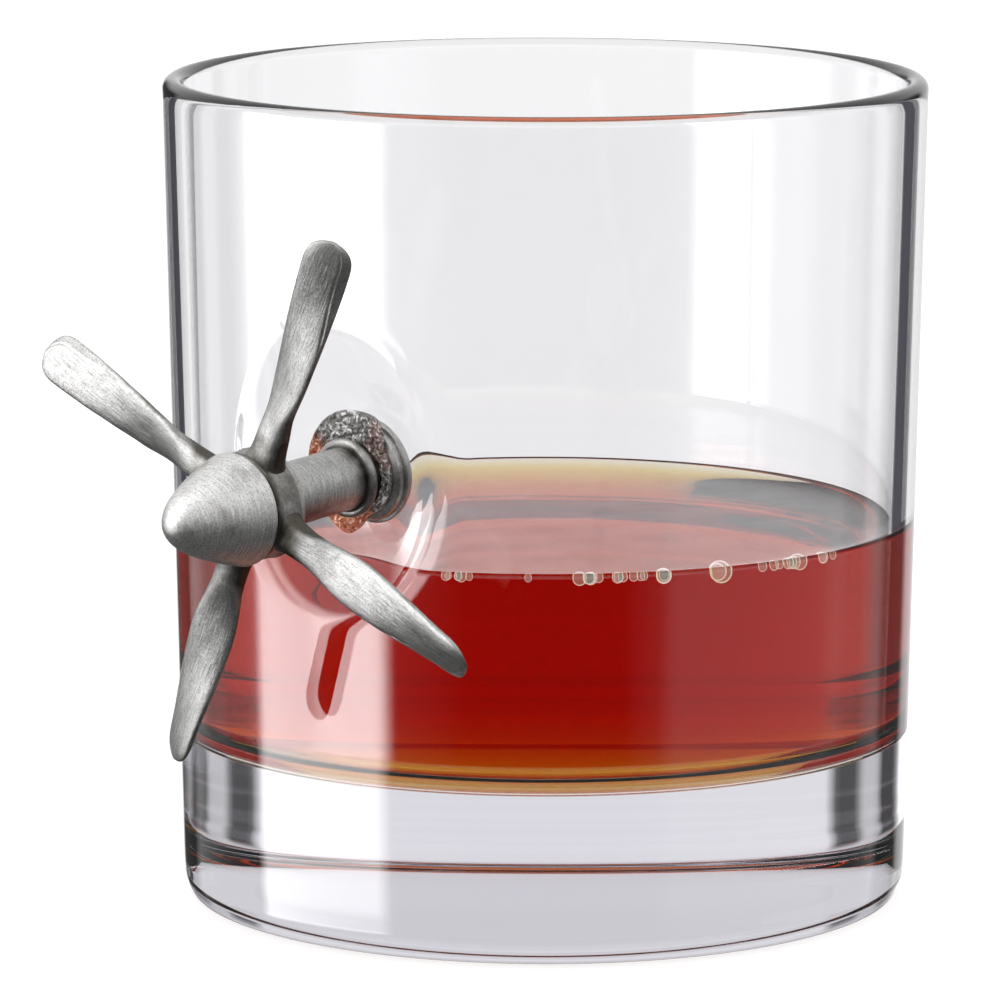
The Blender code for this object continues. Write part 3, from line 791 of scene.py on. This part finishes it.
def makeBlade(number, material):
    v = propellerValues
    columns = 96
    radius = np.concatenate([
        np.linspace(v["foot"], v["rounding"], 150),
        v["rounding"] + (v["tip"] - v["rounding"]) * np.sin(np.linspace(0, 0.4965, 34)[1:] * math.pi),
    ])
    turn = np.arange(columns) * 2 * math.pi / columns
    width, pitch, thick = (part[:, None] for part in bladeSection(radius))
    # a flattened oval: the power pushes the sides out towards a box with round edges
    cosine, sine = np.cos(turn), np.sin(turn)
    across = width * np.sign(cosine) * np.abs(cosine) ** 0.8
    through = thick * np.sign(sine) * np.abs(sine) ** 0.72
    # a chamfer on the front of the trailing edge, widest at the tip, with a scored line beside it
    span = smooth((radius - 17 * mm) / (12 * mm))[:, None]
    edge = (across + width) / mm
    chamfer = 1.0 * span
    lowered = np.clip((chamfer - edge) / np.maximum(chamfer, 1e-3), 0, 1) * 0.75
    through = np.where(sine > 0, through * (1 - lowered * span), through)
    score = np.exp(-(((edge - chamfer - 0.05) / 0.09) ** 2))
    score = score * smooth((radius - 19 * mm) / (3 * mm))[:, None]
    through = through - np.where(sine > 0.1, score * v["scoreDepth"], 0)
    # hand-filed unevenness
    uneven = ripple(radius[:, None] / mm * 0.9, across / mm * 1.4 + 3 * np.sign(sine), 20 + number)
    through = through + v["unevenness"] * uneven * np.clip(thick / mm, 0, 1)
    side = across * np.cos(pitch) - through * np.sin(pitch)
    forward = across * np.sin(pitch) + through * np.cos(pitch)
    angle = math.radians(v["firstBlade"] + 360 / v["blades"] * number)
    long = radius[:, None]
    level = long * math.cos(angle) - side * math.sin(angle)
    rising = long * math.sin(angle) + side * math.cos(angle)
    # rings from foot to tip, wound so that the faces point outwards
    grid = onAxis(level, rising, bladePlane + forward)
    piece = meshFromGrid(f"paddleBlade{number + 1}", grid, material, "propeller")
    # the blade's mask: darker at the foot, painted shade on the faces that point towards the glass, and
    # darker along both edges
    flat = radius[:, None] + 0 * across
    worn = 0.55 * (1 - smooth((flat - 6.2 * mm) / (5.5 * mm))) - 0.12
    paintedBackShade = np.where(sine[None, :] < -0.15, 0.22, 0.0)
    edges = 0.34 * np.abs(cosine[None, :]) ** 9
    mask = (worn + paintedBackShade + edges).ravel()
    paintGrimeAndShade(piece, np.concatenate([mask, [0.4, 0.1]]))
    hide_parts(f"blade_{number + 1}")


def makePropeller():
    v = propellerValues
    bladePewter = makePewter("bladePewter", "grimeAndShade", (90, 12), 1.0, 0.8, 0.72)
    for number in range(v["blades"]):
        makeBlade(number, bladePewter)
    # the hub: a drum with a bright lip at its back and a step behind the blades
    r, back, front = v["hubRadius"], v["hubBack"] + bladePlane, v["hubFront"] + bladePlane
    corners = [
        (0.2 * mm, back), (r - 0.35 * mm, back), (r, back + 0.2 * mm), (r, back + 0.75 * mm),
        (r - 0.12 * mm, back + 0.85 * mm), (r - 0.12 * mm, front - 0.25 * mm), (r - 0.5 * mm, front),
        (0.2 * mm, front),
    ]
    profile = resampled(roundedProfile(corners, 0.12 * mm), 0.2 * mm)
    hubPewter = makePewter("hubPewter", "grimeAndShade", (16, 60), 0.9, 0.8, 0.8)
    grid = turnedGrid(profile[:, 0], profile[:, 1], 200, 0.006, 3)
    hub = meshFromGrid("drumHub", grid, hubPewter, "propeller")
    out = ((meshPoints(hub) - hubCentre) @ axisDir) / mm
    # the mask is high towards the front, by the blades and the spinner, and low on the back lip: the hub is
    # darker in front and lighter on its lip
    paintGrimeAndShade(hub, 0.30 - 0.25 * smooth((-out - 1.0) / 0.5) + 0.2 * smooth((out - 1.0) / 0.8))
    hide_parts("hub")
    # the spinner: its radius is the share of length left, to a power
    r, base = v["spinnerRadius"], front + 0.3 * mm
    along = np.sin(np.linspace(0, 0.5, 90) * math.pi) ** 1.3
    left = np.maximum(1 - along, 1e-5)
    out = base + 0.3 * mm + (v["spinnerLength"] - 0.3 * mm) * along
    nose = np.stack([r * left ** v["bluntness"], out], -1)
    corners = [(0.2 * mm, base), (r - 0.15 * mm, base), (r, base + 0.12 * mm), tuple(nose[0])]
    skirt = roundedProfile(corners, 0.1 * mm)
    profile = np.vstack([resampled(skirt, 0.25 * mm), nose[1:]])
    # tone 1.15: a lighter copy of the pewter, painted light on the spinner
    spinnerPewter = makePewter("spinnerPewter", "grimeAndShade", (10, 95), 0.9, 0.6, 1.15)
    grid = turnedGrid(profile[:, 0], profile[:, 1], 200, 0.004, 6)
    spinner = meshFromGrid("bluntSpinner", grid, spinnerPewter, "propeller")
    out = ((meshPoints(spinner) - hubCentre) @ axisDir) / mm
    # the mask falls towards the nose: the spinner is darker at its back, by the hub, and lighter towards
    # the nose
    paintGrimeAndShade(spinner, 0.12 - 0.2 * smooth((out - 7) / 5))
    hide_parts("spinner")
    print("propeller made")


def finishHiddenMetal():  # the pin and the washers keep their own shapes
    dark = makePewter("darkSteel", 0.35, (40, 40), 0.4)
    for node in ("axle_pin", "rear_washer", "front_washer"):
        piece = frame["nodes"][node]
        for slotItem in piece.material_slots:
            slotItem.material = dark


stageValues = {
    "floorSize": 14.0,
    "floorDrop": 0.05 * mm,
    "floorGlow": 0.86,
    "gain": 8.0,  # the strength of a level of 1
    # light by bearing, in degrees round the object from the camera's side, negative to the left:
    # what shines on the surfaces, what is seen through one piece, and what is seen through more
    "mirrored": [
        (-180, 1.0), (-172, 0.9), (-167, 0.08), (-148, 0.08), (-142, 0.6), (-114, 0.3), (-102, 0.3),
        (-98, 7.6), (-54, 7.6), (-49, 0.12), (-25, 0.02), (25, 0.02), (36, 0.12), (42, 0.5), (98, 0.5),
        (104, 0.3), (114, 0.3), (128, 0.6), (133, 0.1), (149, 0.1), (155, 0.8), (180, 1.0),
    ],
    "clear": [
        (-180, 1.0), (-142, 1.0), (-139, 0.08), (-133, 0.08), (-130, 0.7), (-124, 0.7), (-121, 0.08),
        (-114, 0.08), (-110, 0.6), (-98, 6.5), (-54, 6.5), (-49, 0.12), (-25, 0.02), (25, 0.02), (36, 0.12),
        (42, 0.3), (100, 0.3), (108, 0.7), (113, 0.08), (121, 0.08), (124, 0.7), (130, 0.7), (133, 0.08),
        (139, 0.08), (142, 1.0), (180, 1.0),
    ],
    "deep": [
        (-180, 1.0), (-142, 1.0), (-137, 0.5), (-124, 0.5), (-118, 1.0), (-104, 1.0), (-98, 1.6),
        (-82, 1.6), (-77, 5.0), (-54, 5.0), (-49, 0.12), (-25, 0.02), (25, 0.02), (36, 0.12),
        (42, 0.3), (100, 0.3), (108, 0.9), (118, 0.9), (124, 0.5), (137, 0.5), (142, 1.0), (180, 1.0),
    ],
    "overhead": 0.85,
    "deepFrom": 3.5,  # surfaces passed: two for each wall
    "satinGain": 0.38,  # satin metal sees the lights this much softer
    "satinTop": 0.9,
    "satinFoot": 0.06,
    "flags": {  # from, to, how far back
        "flagLeft": (-48.8 * mm, -43.0 * mm, 10 * mm),
        "flagRight": (66 * mm, 94 * mm, 60 * mm),
    },
    "flagHeight": 115 * mm,
    "underfoot": 0.09,  # as the metal's shine sees it
    "sheet": 0.9,  # as the clear glass sees it
}


# a white sheet under and behind the object. It glows a little, so that it stays even
def makeFloor():
    v = stageValues
    half = v["floorSize"] / 2
    mesh = bpy.data.meshes.new("floor")
    drop = -v["floorDrop"]
    corners = [(-half, -half, drop), (half, -half, drop), (half, half, drop), (-half, half, drop)]
    mesh.from_pydata(corners, [], [(0, 1, 2, 3)])
    floor = bpy.data.objects.new("floor", mesh)
    bpy.context.scene.collection.objects.link(floor)
    material, _, _, shader = newMaterial("whiteSheet")
    shader.inputs["Base Color"].default_value = (0.3, 0.3, 0.3, 1)
    shader.inputs["Roughness"].default_value = 0.9
    shader.inputs["Specular IOR Level"].default_value = 0.0
    shader.inputs["Emission Color"].default_value = (1, 1, 1, 1)
    shader.inputs["Emission Strength"].default_value = v["floorGlow"]
    mesh.materials.append(material)
    floor.visible_glossy = False
    floor.visible_transmission = False


# two dark strips close behind the glass, one beyond each side of it. Only light that passes through
# clear pieces meets them, and they draw the dark lines down the glass's edges
def makeFlags():
    high = stageValues["flagHeight"]
    material, _, _, shader = newMaterial("flag")
    shader.inputs["Base Color"].default_value = (0.09, 0.085, 0.11, 1)
    shader.inputs["Roughness"].default_value = 1.0
    for name, (start, end, back) in stageValues["flags"].items():
        mesh = bpy.data.meshes.new(name)
        corners = [(start, back, 0), (end, back, 0), (end, back, high), (start, back, high)]
        mesh.from_pydata(corners, [], [(0, 1, 2, 3)])
        mesh.materials.append(material)
        flag = bpy.data.objects.new(name, mesh)
        bpy.context.scene.collection.objects.link(flag)
        flag.visible_camera = False
        flag.visible_diffuse = False
        flag.visible_glossy = False
        flag.visible_shadow = False


# the studio as light by direction: a white card behind the object that is only a little wider than it,
# dark beside the card, a tall soft box on each side of the camera and the dark room in front. Light
# that shines on the surfaces, light seen through one piece and light seen through more each have a
# ring of levels. Satin metal sees its ring softened, over a fill that grows with height
def makeWorld():
    v = stageValues
    world = bpy.data.worlds.new("studio")
    bpy.context.scene.world = world
    world.use_nodes = True
    nodes, links = world.node_tree.nodes, world.node_tree.links
    background = nodes["Background"]
    rays = nodes.new("ShaderNodeLightPath")
    parts = nodes.new("ShaderNodeSeparateXYZ")
    links.new(nodes.new("ShaderNodeTexCoord").outputs["Generated"], parts.inputs["Vector"])

    def maths(kind, *values):
        return mathNode(nodes, links, kind, *values)

    def mix(factor, first, second):
        return mixNode(nodes, links, factor, first, second, kind="FLOAT")

    def between(value, low, high, toLow=0.0, toHigh=1.0):  # a soft step from low to high
        node = nodes.new("ShaderNodeMapRange")
        node.interpolation_type = "SMOOTHSTEP"
        for name, amount in (("From Min", low), ("From Max", high), ("To Min", toLow), ("To Max", toHigh)):
            node.inputs[name].default_value = amount
        links.new(value, node.inputs["Value"])
        return node.outputs["Result"]

    height = parts.outputs["Z"]
    turned = maths("ARCTAN2", parts.outputs["X"], maths("MULTIPLY", parts.outputs["Y"], -1.0))
    share = maths("MULTIPLY_ADD", turned, 0.5 / math.pi, 0.5)

    def ring(levels):
        stops = [((bearing + 180) / 360, level / v["gain"]) for bearing, level in levels]
        return maths("MULTIPLY", rampNode(nodes, links, share, stops), v["gain"])

    through = rays.outputs["Is Transmission Ray"]
    deep = maths("GREATER_THAN", rays.outputs["Transmission Depth"], v["deepFrom"])
    blurred = maths("SUBTRACT", 1.0, rays.outputs["Is Singular Ray"])
    satin = maths("MULTIPLY", rays.outputs["Is Glossy Ray"], blurred)
    satin = maths("MULTIPLY", satin, maths("SUBTRACT", 1.0, through))
    around = mix(through, ring(v["mirrored"]), mix(deep, ring(v["clear"]), ring(v["deep"])))
    mirrorTop = mix(satin, between(height, 0.02, 0.24), between(height, 0.80, 0.95))
    clearTop = between(height, 0.06, 0.20)
    level = mix(mix(through, mirrorTop, clearTop), around, v["overhead"])
    ground = mix(through, v["underfoot"], v["sheet"])
    level = mix(between(height, -0.38, -0.26, 1.0, 0.0), level, ground)
    fill = between(height, -0.3, 0.6, v["satinFoot"], v["satinTop"])
    level = mix(satin, level, maths("MULTIPLY_ADD", level, v["satinGain"], fill))
    level = mix(rays.outputs["Is Camera Ray"], level, 1.0)
    links.new(level, background.inputs["Strength"])
    background.inputs["Color"].default_value = (1.0, 1.0, 1.0, 1)


cameraValues = {
    "place": (0.0, -0.752, 0.1695),
    "pitch": 0.1669,  # down, radians
    "pan": -0.0064,  # to the left
    "roll": 0.0011,
    "lens": 253.5,
}


def makeCamera():
    v = cameraValues
    forward = Vector((
        math.sin(v["pan"]) * math.cos(v["pitch"]),
        math.cos(v["pan"]) * math.cos(v["pitch"]),
        -math.sin(v["pitch"]),
    ))
    camera = bpy.data.cameras.new("camera")
    camera.lens = v["lens"]
    camera.sensor_width = 36.0
    camera.clip_start = 0.01
    holder = bpy.data.objects.new("camera", camera)
    bpy.context.scene.collection.objects.link(holder)
    turn = forward.to_track_quat("-Z", "Y").to_matrix().to_4x4()
    holder.matrix_world = Matrix.Translation(v["place"]) @ turn @ Matrix.Rotation(v["roll"], 4, "Z")
    bpy.context.scene.camera = holder


makeCamera()
makeTumbler()
makeDrink()
makeBubbles()
makeAnchor()
makePropeller()
finishHiddenMetal()
makeFloor()
makeFlags()
makeWorld()
bpy.context.scene.view_settings.view_transform = "Standard"
print("stage made")
